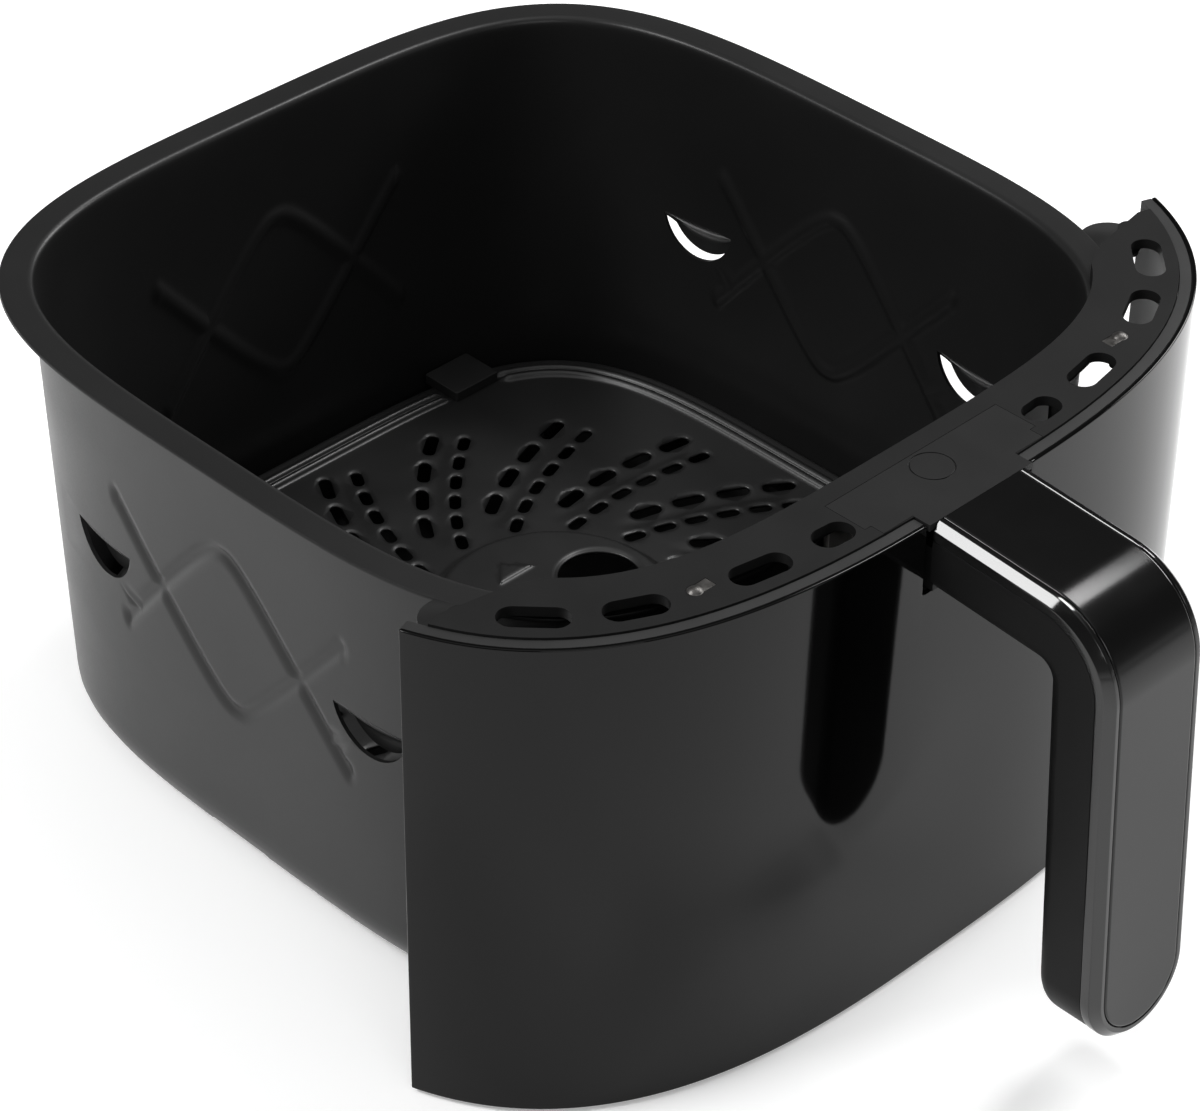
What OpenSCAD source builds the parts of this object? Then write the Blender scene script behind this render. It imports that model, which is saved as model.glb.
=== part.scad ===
// Pull-out drawer of a countertop air fryer: a deep pressed pot with a lift-out crisper plate,
// a curved front panel, a moulded top bracket and a cranked handle.
// +X is right, -Y is the handle side, +Z is up. The origin is the centre of the footprint.

/* [Pot] */
// Width over the rim, at the middle of the sides
rim_w = 262; // [200:1:320]
// Depth over the rim, at the middle of the front and back
rim_d = 267; // [205:1:330]
// Height of the rim above the base
pot_h = 149; // [110:1:200]
// Width of the flat rim
rim_flange = 10; // [8:0.5:14]
// Thickness of the pressed steel
sheet = 1.2; // [0.8:0.1:1.6]
// How far each wall leans in from rim to base
draft = 4; // [2:0.5:7]
// Radius between wall and base
base_fillet = 16; // [8:1:24]
// Flat width of the channel pressed across the base
channel_w = 24; // [16:1:36]
// Height of the channel
channel_h = 7; // [4:0.5:10]
// Channel centre, behind the middle of the pot
channel_back = 10; // [0:1:20]
// Length of a louvre's straight top edge
louvre_w = 30; // [20:1:36]
// Height of a louvre
louvre_h = 12.5; // [8:0.5:15]
// Distance of a louvre's top edge below the rim
louvre_drop = 61; // [40:1:75]
// Radius of the ear that takes a wing screw
ear_r = 9; // [8:0.5:11]

/* [Crisper plate] */
// Clearance from the plate's edge to the pot wall
plate_gap = 6; // [4:0.5:10]
// Height of the plate's upper face above the base
plate_z = 31; // [24:1:45]
// Height of the turned-down edge
plate_skirt = 8; // [5:1:12]
// Height of the raised ridge near the edge
ridge_h = 2.5; // [1.5:0.5:4]
// Radius of the central dome at its foot
dome_r = 39; // [34:1:44]
// Height of the dome
dome_h = 4; // [2:0.5:6]
// Radius of a finger hole
finger_r = 12.4; // [10:0.2:14]
// Distance of a finger hole from the middle
finger_x = 18; // [15:0.5:20]
// Number of slot arms in the swirl
arms = 15; // [9:1:16]
// Width of a silicone bumper
bumper_w = 18; // [12:1:24]

/* [Front] */
// How far the panel stands out past the rim on each side
panel_over = 13.5; // [8:0.5:20]
// How far the panel stands in front of the rim
front_gap = 21; // [18:0.5:30]
// Depth of the panel's sweep
panel_sweep = 120.7; // [90:0.5:140]
// Squareness of the panel's sweep (2 is an ellipse)
panel_square = 2.9; // [2.5:0.1:3.4]
// Clearance under the panel
panel_foot = 1; // [0.5:0.5:4]
// Thickness of the glossy outer skin
skin_t = 1.4; // [1:0.1:2.5]
// Thickness of the frame behind the skin
frame_t = 3.2; // [2.4:0.1:4]
// Height of the top bracket above the rim
bracket_h = 6.5; // [5.5:0.5:9]
// Thickness of the bracket's deck
deck_t = 3; // [2:0.1:3]
// How much of the rim the bracket covers
rim_cover = 8.5; // [6:0.5:9]
// Width of an air slot in the bracket
slot_w = 8.4; // [6:0.2:9]
// Half width of the cover plate
cover_hw = 32.7; // [28:0.1:34]
// Thickness of the cover plate
cover_t = 2; // [1.4:0.1:2]

/* [Handle] */
// Width of the handle
handle_w = 37.4; // [34:0.1:45]
// Distance from the panel to the front of the grip, at the bend
reach = 61.3; // [55:0.1:80]
// Thickness of the handle
grip_t = 21.5; // [19:0.5:25]
// Outer radius of the bend
bend_r = 26; // [24:1:32]
// Depth of the glossy outer frame
rail_t = 5.4; // [5:0.1:9]
// Wall of the matte inner shell
shell_wall = 2.4; // [2:0.1:3]
// Clearance under the grip
grip_foot = 14.5; // [2:0.5:24]

/* [Fasteners] */
// Shank radius of the plastic screws
screw_r = 1.5; // [1.25:0.05:1.75]
// Shank radius of the tang screws
tang_screw_r = 2; // [1.75:0.05:2.5]

/* [Hidden] */

// Levels
z_rim = pot_h;
z_deck = z_rim + bracket_h;
z_top = z_deck;

// Rim and panel outlines
rim_n = 3.77;
rim_a = rim_w / 2;
rim_b = rim_d / 2;
panel_hw = rim_a + panel_over;
curve_a = panel_hw * 1.05;
y_front = -(rim_b + front_gap);
curve_y = y_front + panel_sweep;
end_t = acos(pow(1 / 1.05, panel_square / 2));
frame_in = skin_t + 0.1 + frame_t;
y_wing = curve_y - panel_sweep * pow(sin(end_t), 2 / panel_square) - 3;

// Pot walls: how far the outer face lies inside the rim's edge
wall_in = rim_flange - sheet;
floor_in = wall_in + draft;
function wall_at(z) = floor_in - draft * z / z_rim;

// Handle
bend_y = y_front - reach + bend_r;
arm_slope = 4.3;
grip_lean = 3.25;
bend_z = z_top - bend_r * cos(arm_slope) - (y_front - bend_y - bend_r * sin(arm_slope)) * tan(arm_slope);
notch_z = z_top - grip_t - 0.6;
cavity_floor = notch_z + 0.6 + shell_wall;

// Screws shared by the plastic parts: thread, clearance hole, head and its recess, boss
thread_r = screw_r - 0.05;
hole_r = screw_r + 0.2;
flat_head_r = 3;
flat_head_t = 2;
head_recess_r = flat_head_r + 0.1;
boss_r = 3.6;
tang_hole_r = tang_screw_r + 0.15;
through = 3 * z_rim;
mate_gap = 0.1;

// Footprint centre
y_grip = bend_y - bend_r - (bend_z - grip_foot) * tan(grip_lean);
shift_y = -(rim_b + y_grip) / 2;

// Points of a rounded square of half sizes a and b, moved in by inset
function loop_point(t, a, b, n, inset) =
    let (c = cos(t), s = sin(t),
         x = a * sign(c) * pow(abs(c), 2 / n),
         y = b * sign(s) * pow(abs(s), 2 / n),
         gx = sign(x) * pow(abs(x) / a, n - 1) / a,
         gy = sign(y) * pow(abs(y) / b, n - 1) / b,
         g = sqrt(gx * gx + gy * gy))
    [x - inset * gx / g, y - inset * gy / g];
function rim_loop(inset, steps = 72) =
    [for (i = [0:steps - 1]) loop_point((i + 0.5) * 360 / steps, rim_a, rim_b, rim_n, inset)];

// Points of the panel's sweep from right to left, moved in by inset
function sweep(inset, trim = 0, steps = 48) =
    [for (i = [0:steps])
        let (t = end_t + trim + (180 - 2 * end_t - 2 * trim) * i / steps,
             p = loop_point(-t, curve_a, panel_sweep, panel_square, inset))
        [p[0], p[1] + curve_y]];
function back_to_front(list) = [for (i = [len(list) - 1:-1:0]) list[i]];

// A wall that follows the panel's sweep between two depths
module sweep_wall(outer, inner, z0, z1, trim = 0) {
    translate([0, 0, z0]) linear_extrude(z1 - z0)
        polygon(concat(sweep(outer, trim), back_to_front(sweep(inner, trim))));
}

module in_frame() { translate([0, shift_y, 0]) children(); }

module both_sides() {
    children();
    mirror([1, 0, 0]) children();
}

// A slot with round ends, centred, along X
module round_slot(length, width, height) {
    linear_extrude(height) union() {
        square([length - width, width], center = true);
        translate([(length - width) / 2, 0]) circle(d = width, $fn = 32);
        translate([-(length - width) / 2, 0]) circle(d = width, $fn = 32);
    }
}

// ---- Pot ----

// Solid of the pot's outside or inside, from the base fillet to the top
module pot_body(skin, top) {
    fillet = base_fillet - skin;
    hull() {
        for (k = [0:4])
            let (a = 90 * k / 4, in = fillet * (1 - sin(a)), z = skin + fillet * (1 - cos(a)))
            translate([0, 0, z]) linear_extrude(0.01)
                polygon(rim_loop(wall_at(z) + skin + in));
        translate([0, 0, top - 0.01]) linear_extrude(0.01)
            polygon(rim_loop(wall_at(top) + skin));
    }
}

module channel(skin) {
    half = channel_w / 2 + skin;
    h = channel_h + skin;
    translate([-rim_a, channel_back, 0]) rotate([90, 0, 90]) linear_extrude(rim_w)
        polygon([[-half - 6, -1], [half + 6, -1], [half + 5, 0], [half, h], [-half, h], [-half - 5, 0]]);
}

// Half-moon with a straight top edge at the origin, in the wall's plane
louvre_r = (pow(louvre_w / 2, 2) + pow(louvre_h, 2)) / (2 * louvre_h);
module half_moon(shrink = 0) {
    intersection() {
        translate([0, louvre_r - louvre_h]) circle(louvre_r - shrink, $fn = 64);
        translate([-louvre_w, -louvre_h - 1]) square([2 * louvre_w, louvre_h + 1]);
    }
}
louvre_y = [65, -57];
louvre_turn = [8, -6];
function wall_x(y, z) = let (a = rim_a - wall_at(z), b = rim_b - wall_at(z))
    a * pow(1 - pow(abs(y) / b, rim_n), 1 / rim_n);
module at_louvre(k) {
    translate([wall_x(louvre_y[k], z_rim - louvre_drop), louvre_y[k], z_rim - louvre_drop])
        rotate([0, 0, louvre_turn[k]]) children();
}

louvre_lean = 24;
module louvre_flap(turn) {
    translate([-0.9 * sheet, 0, 0.4]) rotate([0, turn, 0]) rotate([90, 0, 90])
        linear_extrude(0.8 * sheet) half_moon(0.6);
}

module pot() color("#1d1d1f") in_frame() {
    difference() {
        union() {
            difference() {
                pot_body(0, z_rim - sheet / 2);
                channel(0);
            }
            translate([0, 0, z_rim - sheet]) linear_extrude(sheet) polygon(rim_loop(0));
            both_sides() translate([rim_a - 5, y_wing + 3, z_rim - sheet])
                cylinder(r = ear_r, h = sheet, $fn = 64);
        }
        difference() {
            pot_body(sheet, z_rim + 1);
            channel(sheet);
        }
        both_sides() for (k = [0, 1])
            at_louvre(k) rotate([90, 0, 90]) translate([0, 0, -8]) linear_extrude(16) half_moon();
        both_sides() wing_axis() cylinder(r = hole_r, h = through, center = true, $fn = 32);
    }
    // The flaps of the left wall lean into the pot and those of the right wall out of it
    for (k = [0, 1]) {
        at_louvre(k) louvre_flap(-louvre_lean);
        mirror([1, 0, 0]) at_louvre(k) louvre_flap(louvre_lean);
    }
}

// ---- Fixings between pot, bracket and handle ----

plate_y = -(rim_b - wall_in) - 0.3;
head_r = 3.6;
head_t = 2.4;
drive_half = 2;
drive_w = 0.8;
tang_t = 2.5;
mount_hw = 26;
mount_t = 2;
mount_drop = 46;
shelf_hw = 13;
nut_r = 3.9;
nut_t = 3.2;
shelf_z = z_rim - tang_t - head_t - 0.4;
tang_screw_y = [-(rim_b + head_r + 0.6), -(rim_b + 3 * head_r + 2)];
shelf_end = tang_screw_y[1] - head_r - 0.4;

module wing_axis() { translate([rim_a - 3, y_wing - 1.5, 0]) children(); }

module pot_mount_plate() color("#8a8c90") in_frame() {
    difference() {
        union() {
            translate([-mount_hw, plate_y - mount_t, z_rim - mount_drop])
                cube([2 * mount_hw, mount_t, shelf_z - z_rim + mount_drop]);
            translate([-shelf_hw, shelf_end, shelf_z - mount_t])
                cube([2 * shelf_hw, plate_y - shelf_end, mount_t]);
        }
        for (y = tang_screw_y)
            translate([0, y, 0]) cylinder(r = tang_hole_r, h = through, center = true, $fn = 32);
    }
}

module mount_nuts() color("#9a9a98") in_frame() {
    for (y = tang_screw_y) translate([0, y, shelf_z - mount_t - nut_t]) difference() {
        cylinder(r = nut_r, h = nut_t, $fn = 6);
        translate([0, 0, -1]) cylinder(r = tang_screw_r, h = nut_t + 2, $fn = 32);
    }
}

module tang_screws() color("#b4b4b2") in_frame() {
    for (y = tang_screw_y) translate([0, y, shelf_z + tang_t]) {
        translate([0, 0, -7.4]) cylinder(r = tang_screw_r, h = 8, $fn = 32);
        difference() {
            cylinder(r = head_r, h = head_t, $fn = 48);
            for (turn = [0, 90]) rotate([0, 0, turn])
                translate([-drive_half, -drive_w / 2, 1]) cube([2 * drive_half, drive_w, head_t]);
        }
    }
}

stay_z = panel_foot + 5;
stay_y = -(rim_b - wall_at(18)) - 0.9;
stay_hw = 30;
stay_t = 1.5;
stay_h = 26;
stay_screw_x = 18;
stay_screw_y = y_front + frame_in + 5;
module lower_stay() color("#8a8c90") in_frame() {
    difference() {
        union() {
            translate([-stay_hw, stay_y - stay_t, stay_z]) cube([2 * stay_hw, stay_t, stay_h]);
            translate([-stay_hw, y_front + frame_in + 1.2, stay_z])
                cube([2 * stay_hw, stay_y - y_front - frame_in - 1.2 - mate_gap, stay_t]);
        }
        both_sides() translate([stay_screw_x, stay_screw_y, 0]) cylinder(r = screw_r, h = 60, $fn = 32);
    }
}

module stay_screws() color("#b4b4b2") in_frame() {
    both_sides() translate([stay_screw_x, stay_screw_y, 0]) {
        translate([0, 0, panel_foot + 1.8]) cylinder(r = screw_r, h = 6.4, $fn = 32);
        translate([0, 0, panel_foot + 0.2]) cylinder(r = 2.9, h = 1.8, $fn = 48);
    }
}

// ---- Bracket ----

// The air slots follow the panel's sweep: place along it, length
slots = [[8.6, 12.5], [17.3, 18], [34.5, 17.5], [50.4, 19]];
slot_in = 13;
module at_slot(angle) {
    p = loop_point(-90 + angle, curve_a, panel_sweep, panel_square, slot_in);
    q = loop_point(-90 + angle + 1, curve_a, panel_sweep, panel_square, slot_in);
    translate([p[0], p[1] + curve_y, 0]) rotate([0, 0, atan2(q[1] - p[1], q[0] - p[0])]) children();
}

function bracket_outline(grow) =
    concat([for (p = sweep(frame_in + 0.2 + grow, 3)) p],
           [[-(panel_hw - frame_in - 6 - grow), y_wing + 0.8 - grow],
            [-(rim_a - 16.5 + grow), y_wing - 2.5 - grow]],
           [for (p = rim_loop(rim_cover - grow, 144))
               if (p[1] < y_wing - 6 - grow && abs(p[0]) < rim_a - 17) p],
           [[rim_a - 16.5 + grow, y_wing - 2.5 - grow],
            [panel_hw - frame_in - 6 - grow, y_wing + 0.8 - grow]]);

// The screws into the panel's frame sit between the first two slots
frame_screw_angle = 12;
module frame_axis() {
    p = loop_point(-90 + frame_screw_angle, curve_a, panel_sweep, panel_square, slot_in);
    translate([p[0], p[1] + curve_y, 0]) children();
}
boss_low = z_rim - 8;
skirt_t = 2.2;
clip_r = 2.2;
clip_half_y = 1.8;
clip_reach = 5.5;

cover_back = -(rim_b - rim_cover) - 6;
cover_step = y_front + frame_in + 5.2;
cover_lip = y_front + frame_in + 0.8;
cover_neck = handle_w / 2 + 1;
module cover_outline(gap) {
    union() {
        translate([-cover_hw - gap, cover_step - gap])
            square([2 * (cover_hw + gap), cover_back - cover_step + 2 * gap]);
        translate([-cover_hw + 2.2 - gap, cover_lip - gap])
            square([2 * (cover_hw - 2.2 + gap), 8]);
        translate([-cover_neck - gap, y_front - 0.3 - gap])
            square([2 * (cover_neck + gap), 8]);
    }
}

module bracket() color("#232325") in_frame() {
    difference() {
        union() {
            difference() {
                translate([0, 0, z_rim]) linear_extrude(bracket_h) polygon(bracket_outline(0));
                translate([0, 0, z_rim - 1]) linear_extrude(bracket_h - deck_t + 1)
                    polygon(bracket_outline(skirt_t));
            }
            both_sides() frame_axis() translate([0, 0, boss_low])
                cylinder(r = boss_r, h = z_deck - deck_t / 2 - boss_low, $fn = 40);
            both_sides() wing_axis() translate([0, 0, z_rim])
                cylinder(r = boss_r, h = bracket_h - deck_t / 2, $fn = 40);
        }
        both_sides() for (s = slots)
            at_slot(s[0]) translate([0, 0, z_rim - 1]) round_slot(s[1], slot_w, bracket_h + 2);
        translate([0, 0, z_deck - cover_t]) linear_extrude(cover_t + 1) cover_outline(0.15);
        translate([-5.5, shelf_end - 0.6, z_rim - 1])
            cube([11, tang_screw_y[0] - shelf_end + head_r + 2, bracket_h + 2]);
        both_sides() frame_axis() translate([0, 0, boss_low - 1]) cylinder(r = thread_r, h = 9, $fn = 32);
        both_sides() wing_axis() translate([0, 0, z_rim - 1]) cylinder(r = thread_r, h = 5.4, $fn = 32);
        both_sides() clip_axis() translate([0, 0, z_rim - 1])
            cylinder(r = clip_r + mate_gap, h = bracket_h + 2, $fn = 40);
        both_sides() clip_axis() translate([-clip_reach - mate_gap, -clip_half_y - mate_gap, z_deck - 0.8])
            cube([clip_reach + mate_gap, 2 * (clip_half_y + mate_gap), 2]);
    }
}

module wing_screws() color("#b4b4b2") in_frame() {
    both_sides() wing_axis() {
        translate([0, 0, z_rim - sheet - 0.1]) cylinder(r = thread_r, h = 5.2, $fn = 32);
        translate([0, 0, z_rim - sheet - flat_head_t]) cylinder(r = flat_head_r, h = flat_head_t, $fn = 48);
    }
}

// Spring clips that snap the bracket over the corners of the rim
module clip_axis() { translate([rim_a - 49.5, -(rim_b - rim_cover) - 7.8, 0]) children(); }
module clip() {
    clip_axis() {
        translate([0, 0, z_rim - 3]) cylinder(r = clip_r, h = bracket_h + 3, $fn = 40);
        translate([0, 0, z_deck - 0.2]) intersection() {
            translate([0, 0, -1.4]) sphere(r = 2.6, $fn = 40);
            cylinder(r = 3, h = 3, $fn = 40);
        }
        translate([-clip_reach, -clip_half_y, z_deck - 0.75]) cube([clip_reach, 2 * clip_half_y, 0.7]);
    }
}
module clip_right() color("#77777a") in_frame() clip();
module clip_left() color("#77777a") in_frame() mirror([1, 0, 0]) clip();

module cover_plate() color("#252527") in_frame() {
    difference() {
        translate([0, 0, z_deck - cover_t]) linear_extrude(cover_t) cover_outline(0);
        translate([0, cover_back - 7, z_deck - 0.3]) difference() {
            cylinder(r = 6.2, h = 1, $fn = 64);
            translate([0, 0, -1]) cylinder(r = 5.8, h = 3, $fn = 64);
        }
    }
}

// ---- Front panel ----

module front_panel() color("#111113") in_frame() {
    difference() {
        sweep_wall(0, skin_t, panel_foot, z_deck - 0.3);
        translate([-cover_neck - 0.3, y_front - 2, notch_z]) cube([2 * cover_neck + 0.6, 12, grip_t + 10]);
    }
}

frame_z = panel_foot + 2;
module panel_frame() color("#1b1b1d") in_frame() {
    difference() {
        union() {
            sweep_wall(skin_t + 0.1, frame_in, frame_z, z_deck - 0.6);
            sweep_wall(frame_in - 0.5, frame_in + 8, frame_z, stay_z, 12);
            both_sides() intersection() {
                sweep_wall(frame_in - 0.5, frame_in + 5, frame_z + 1, z_rim - 16);
                translate([68, -2 * rim_b, 0]) cube([3, 2 * rim_b, z_rim]);
            }
            both_sides() intersection() {
                sweep_wall(frame_in - 0.5, slot_in + 5, boss_low - 2.6, boss_low - 0.1);
                frame_axis() translate([-6, -30, 0]) cube([12, 60, z_rim]);
            }
        }
        translate([-cover_neck - 0.3, y_front - 2, notch_z]) cube([2 * cover_neck + 0.6, 14, grip_t + 10]);
        both_sides() frame_axis() cylinder(r = hole_r, h = through, center = true, $fn = 32);
        both_sides() translate([stay_screw_x, stay_screw_y, 0]) {
            cylinder(r = hole_r, h = 20, $fn = 32);
            translate([0, 0, -1]) cylinder(r = head_recess_r, h = panel_foot + 3.2, $fn = 48);
        }
    }
}

module frame_screws() color("#b4b4b2") in_frame() {
    both_sides() frame_axis() {
        translate([0, 0, boss_low - 3]) cylinder(r = thread_r, h = 10, $fn = 32);
        translate([0, 0, boss_low - 4.7]) cylinder(r = flat_head_r, h = flat_head_t, $fn = 48);
    }
}

// Aluminium sheet that keeps the heat of the pot off the panel
shield_in = frame_in + 5.1;
shield_t = 0.8;
shield_hole_r = 4;
module heat_shield() color("#b9babc") in_frame() {
    difference() {
        sweep_wall(shield_in, shield_in + shield_t, stay_z + 16, z_rim - 24, 14);
        both_sides() for (x = [24, 48]) for (z = [stay_z + 34, z_rim - 42])
            translate([x, y_front + 30, z]) rotate([90, 0, 0]) cylinder(r = shield_hole_r, h = 40, $fn = 32);
    }
}

// ---- Handle ----

// Points of the handle's line, seen from the side, moved in by d: [y, z]
function handle_line(d, y_root, z_end) =
    let (r = bend_r - d,
         top_y = bend_y - r * sin(arm_slope),
         top_z = bend_z + r * cos(arm_slope),
         end_a = 90 - grip_lean,
         low_y = bend_y - r * sin(end_a),
         low_z = bend_z + r * cos(end_a))
    concat([[y_root, top_z + (y_root - top_y) * tan(arm_slope)]],
           [for (k = [0:12]) let (a = arm_slope + (end_a - arm_slope) * k / 12)
               [bend_y - r * sin(a), bend_z + r * cos(a)]],
           [[low_y - (low_z - z_end) * tan(grip_lean), z_end]]);

module handle_strip(d0, d1, half, y_root, z_end) {
    translate([-half, 0, 0]) rotate([90, 0, 90]) linear_extrude(2 * half)
        polygon(concat(handle_line(d0, y_root, z_end), back_to_front(handle_line(d1, y_root, z_end))));
}

// Keeps what lies inside a front view with a round lower end
module round_end(half, low) {
    intersection() {
        children();
        union() {
            translate([-half, y_grip - 40, low + half]) cube([2 * half, 300, z_top + 60]);
            translate([0, y_grip - 40, low + half]) rotate([-90, 0, 0]) cylinder(r = half, h = 300, $fn = 96);
        }
    }
}

shell_in = rail_t + 0.05;
band_w = 3.9;
rail_wall = 2.6;
face_hw = handle_w / 2 - band_w;
shell_step = 0.2;
shell_hw = handle_w / 2 - shell_step;
face_t = 2;
y_arm = y_front - 0.6;
y_root = plate_y - 4;
root_top = z_rim - sheet - 0.6;
grip_screw_z = [grip_foot + 32, grip_foot + 66];
screw_head_y = [for (z = grip_screw_z) bend_y - bend_r - (bend_z - z) * tan(grip_lean) + grip_t - 4];

module handle_outer_frame() color("#141416") in_frame() {
    difference() {
        union() {
            difference() {
                round_end(handle_w / 2, grip_foot)
                    handle_strip(0, rail_t, handle_w / 2, y_arm, grip_foot - 1);
                round_end(handle_w / 2 - rail_wall, grip_foot + rail_wall)
                    handle_strip(4.6, rail_t + 1, handle_w / 2 - rail_wall, y_arm + 5, grip_foot);
            }
            for (k = [0, 1])
                translate([0, screw_head_y[k] - 4, grip_screw_z[k]]) rotate([90, 0, 0])
                    cylinder(r = boss_r, h = grip_t - 12, $fn = 40);
        }
        round_end(face_hw + 0.15, grip_foot + band_w - 0.15)
            handle_strip(-3, face_t + 0.05, face_hw + 0.15, y_arm + 5, grip_foot);
        for (k = [0, 1])
            translate([0, screw_head_y[k] - 3, grip_screw_z[k]]) rotate([90, 0, 0])
                cylinder(r = thread_r, h = 9.5, $fn = 32);
    }
}

module handle_face_plate() color("#2a2a2d") in_frame() {
    round_end(face_hw, grip_foot + band_w)
        handle_strip(0, face_t, face_hw, y_arm, grip_foot);
}

module handle_inner_shell() color("#202022") in_frame() {
    difference() {
        round_end(shell_hw, grip_foot + shell_step) union() {
            handle_strip(shell_in, grip_t, shell_hw, y_arm, grip_foot);
            translate([1 - handle_w / 2, y_front - 1, notch_z + 0.6])
                cube([handle_w - 2, y_root - y_front + 1, root_top - notch_z - 0.6]);
        }
        round_end(shell_hw - shell_wall, grip_foot + shell_step + shell_wall)
            handle_strip(shell_in - 1, grip_t - shell_wall, shell_hw - shell_wall, y_arm + 3, grip_foot);
        translate([1 - handle_w / 2 + shell_wall, y_front - 3.5, cavity_floor])
            cube([handle_w - 2 - 2 * shell_wall, 40, 30]);
        for (k = [0, 1])
            translate([0, screw_head_y[k] + 8, grip_screw_z[k]]) rotate([90, 0, 0]) {
                cylinder(r = hole_r, h = 20, $fn = 32);
                cylinder(r = head_recess_r, h = 8, $fn = 48);
            }
    }
    for (k = [0, 1])
        translate([0, screw_head_y[k] + 2, grip_screw_z[k]]) rotate([90, 0, 0]) difference() {
            cylinder(r = 5, h = 5.9, $fn = 48);
            translate([0, 0, -1]) cylinder(r = hole_r, h = 8, $fn = 32);
            translate([0, 0, -1]) cylinder(r = head_recess_r, h = 3, $fn = 48);
        }
}

module handle_screws() color("#b4b4b2") in_frame() {
    for (k = [0, 1])
        translate([0, screw_head_y[k], grip_screw_z[k]]) rotate([90, 0, 0]) {
            cylinder(r = thread_r, h = 12, $fn = 32);
            translate([0, 0, -1.9]) cylinder(r = 2.9, h = 1.9, $fn = 48);
        }
}

// Bent steel strap that carries the load from the grip to the pot
tang_in = z_top - shelf_z - tang_t + 0.7;
tang_hw = 7;
module handle_tang() color("#8a8c90") in_frame() {
    difference() {
        union() {
            handle_strip(tang_in, tang_in + tang_t, tang_hw, y_front, grip_foot + 84);
            translate([-tang_hw, y_front - 3, shelf_z])
                cube([2 * tang_hw, tang_screw_y[0] + head_r + 1.5 - y_front + 3, tang_t]);
        }
        for (y = tang_screw_y)
            translate([0, y, 0]) cylinder(r = tang_hole_r, h = through, center = true, $fn = 32);
    }
}

// ---- Crisper plate ----

crisp_n = 3.9;
crisp_a = rim_a - wall_at(plate_z) - sheet - plate_gap;
crisp_b = rim_b - wall_at(plate_z) - sheet - plate_gap;
crisp_y = 1;
function crisp_loop(inset) =
    [for (i = [0:71]) loop_point((i + 0.5) * 5, crisp_a, crisp_b, crisp_n, inset)];
module crisp_ring(outer, inner, z0, z1) {
    translate([0, crisp_y, z0]) difference() {
        linear_extrude(z1 - z0) polygon(crisp_loop(outer));
        translate([0, 0, -1]) linear_extrude(z1 - z0 + 2) polygon(crisp_loop(inner));
    }
}

// Rows of slots: first radius, step inward, count, length, width, lead angle, turn of the spiral
swirl_r = crisp_a - 18;
slot_rows = [[0, 12.1, 4, 10.5, 4, 0, 38], [3, 9.2, 6, 7.2, 3.6, -6.2, 29.7]];
module swirl_slots() {
    for (arm = [0:arms - 1]) for (row = slot_rows) for (k = [0:row[2] - 1]) {
        r = swirl_r - row[0] - k * row[1];
        turn = 94.8 + arm * 360 / arms + row[5] + row[6] * ln((swirl_r - row[0]) / r);
        rotate([0, 0, turn]) translate([r, 0, 0]) rotate([0, 0, -atan(row[6] * PI / 180)])
            round_slot(row[3], row[4], 20);
    }
}

plate_t = 1.2;
ridge_out = 5;
ridge_in = 10;
dome_slope = 5;
bumper_x = 0.55 * crisp_a;
module crisper_plate() color("#2b2b2e") in_frame() {
    difference() {
        union() {
            translate([0, crisp_y, plate_z - plate_t]) linear_extrude(plate_t) polygon(crisp_loop(0));
            crisp_ring(0, plate_t, plate_z - plate_skirt, plate_z);
            crisp_ring(ridge_out, ridge_in, plate_z - 0.1, plate_z + ridge_h);
            translate([0, crisp_y, plate_z - 0.1])
                cylinder(r1 = dome_r, r2 = dome_r - dome_slope, h = dome_h + 0.1, $fn = 96);
        }
        crisp_ring(ridge_out + plate_t, ridge_in - plate_t, plate_z - 5, plate_z + ridge_h - plate_t);
        translate([0, crisp_y, plate_z - plate_t - 1])
            cylinder(r = dome_r - dome_slope - plate_t, h = dome_h + 1, $fn = 96);
        translate([0, crisp_y, plate_z - 10]) swirl_slots();
        for (side = [-1, 1])
            translate([side * finger_x, crisp_y, 0]) cylinder(r = finger_r, h = 2 * z_rim, $fn = 64);
        for (sx = [-1, 1]) for (sy = [-1, 1]) bumper_seat(sx, sy);
    }
}

leg_x = 0.7 * crisp_a;
leg_y = 0.7 * crisp_b;
leg_w = 12;
leg_t = 1.5;
leg_pad = 8;
leg_foot = sheet + 0.4;
module crisper_legs() color("#6f7073") in_frame() {
    for (sx = [-1, 1]) for (sy = [-1, 1]) translate([sx * leg_x, crisp_y + sy * leg_y, 0]) {
        translate([-leg_w / 2, -leg_t / 2, leg_foot]) cube([leg_w, leg_t, plate_z - plate_t - leg_foot]);
        for (z = [leg_foot, plate_z - plate_t - leg_t])
            translate([-leg_w / 2, -leg_pad / 2, z]) cube([leg_w, leg_pad, leg_t]);
    }
}

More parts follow.
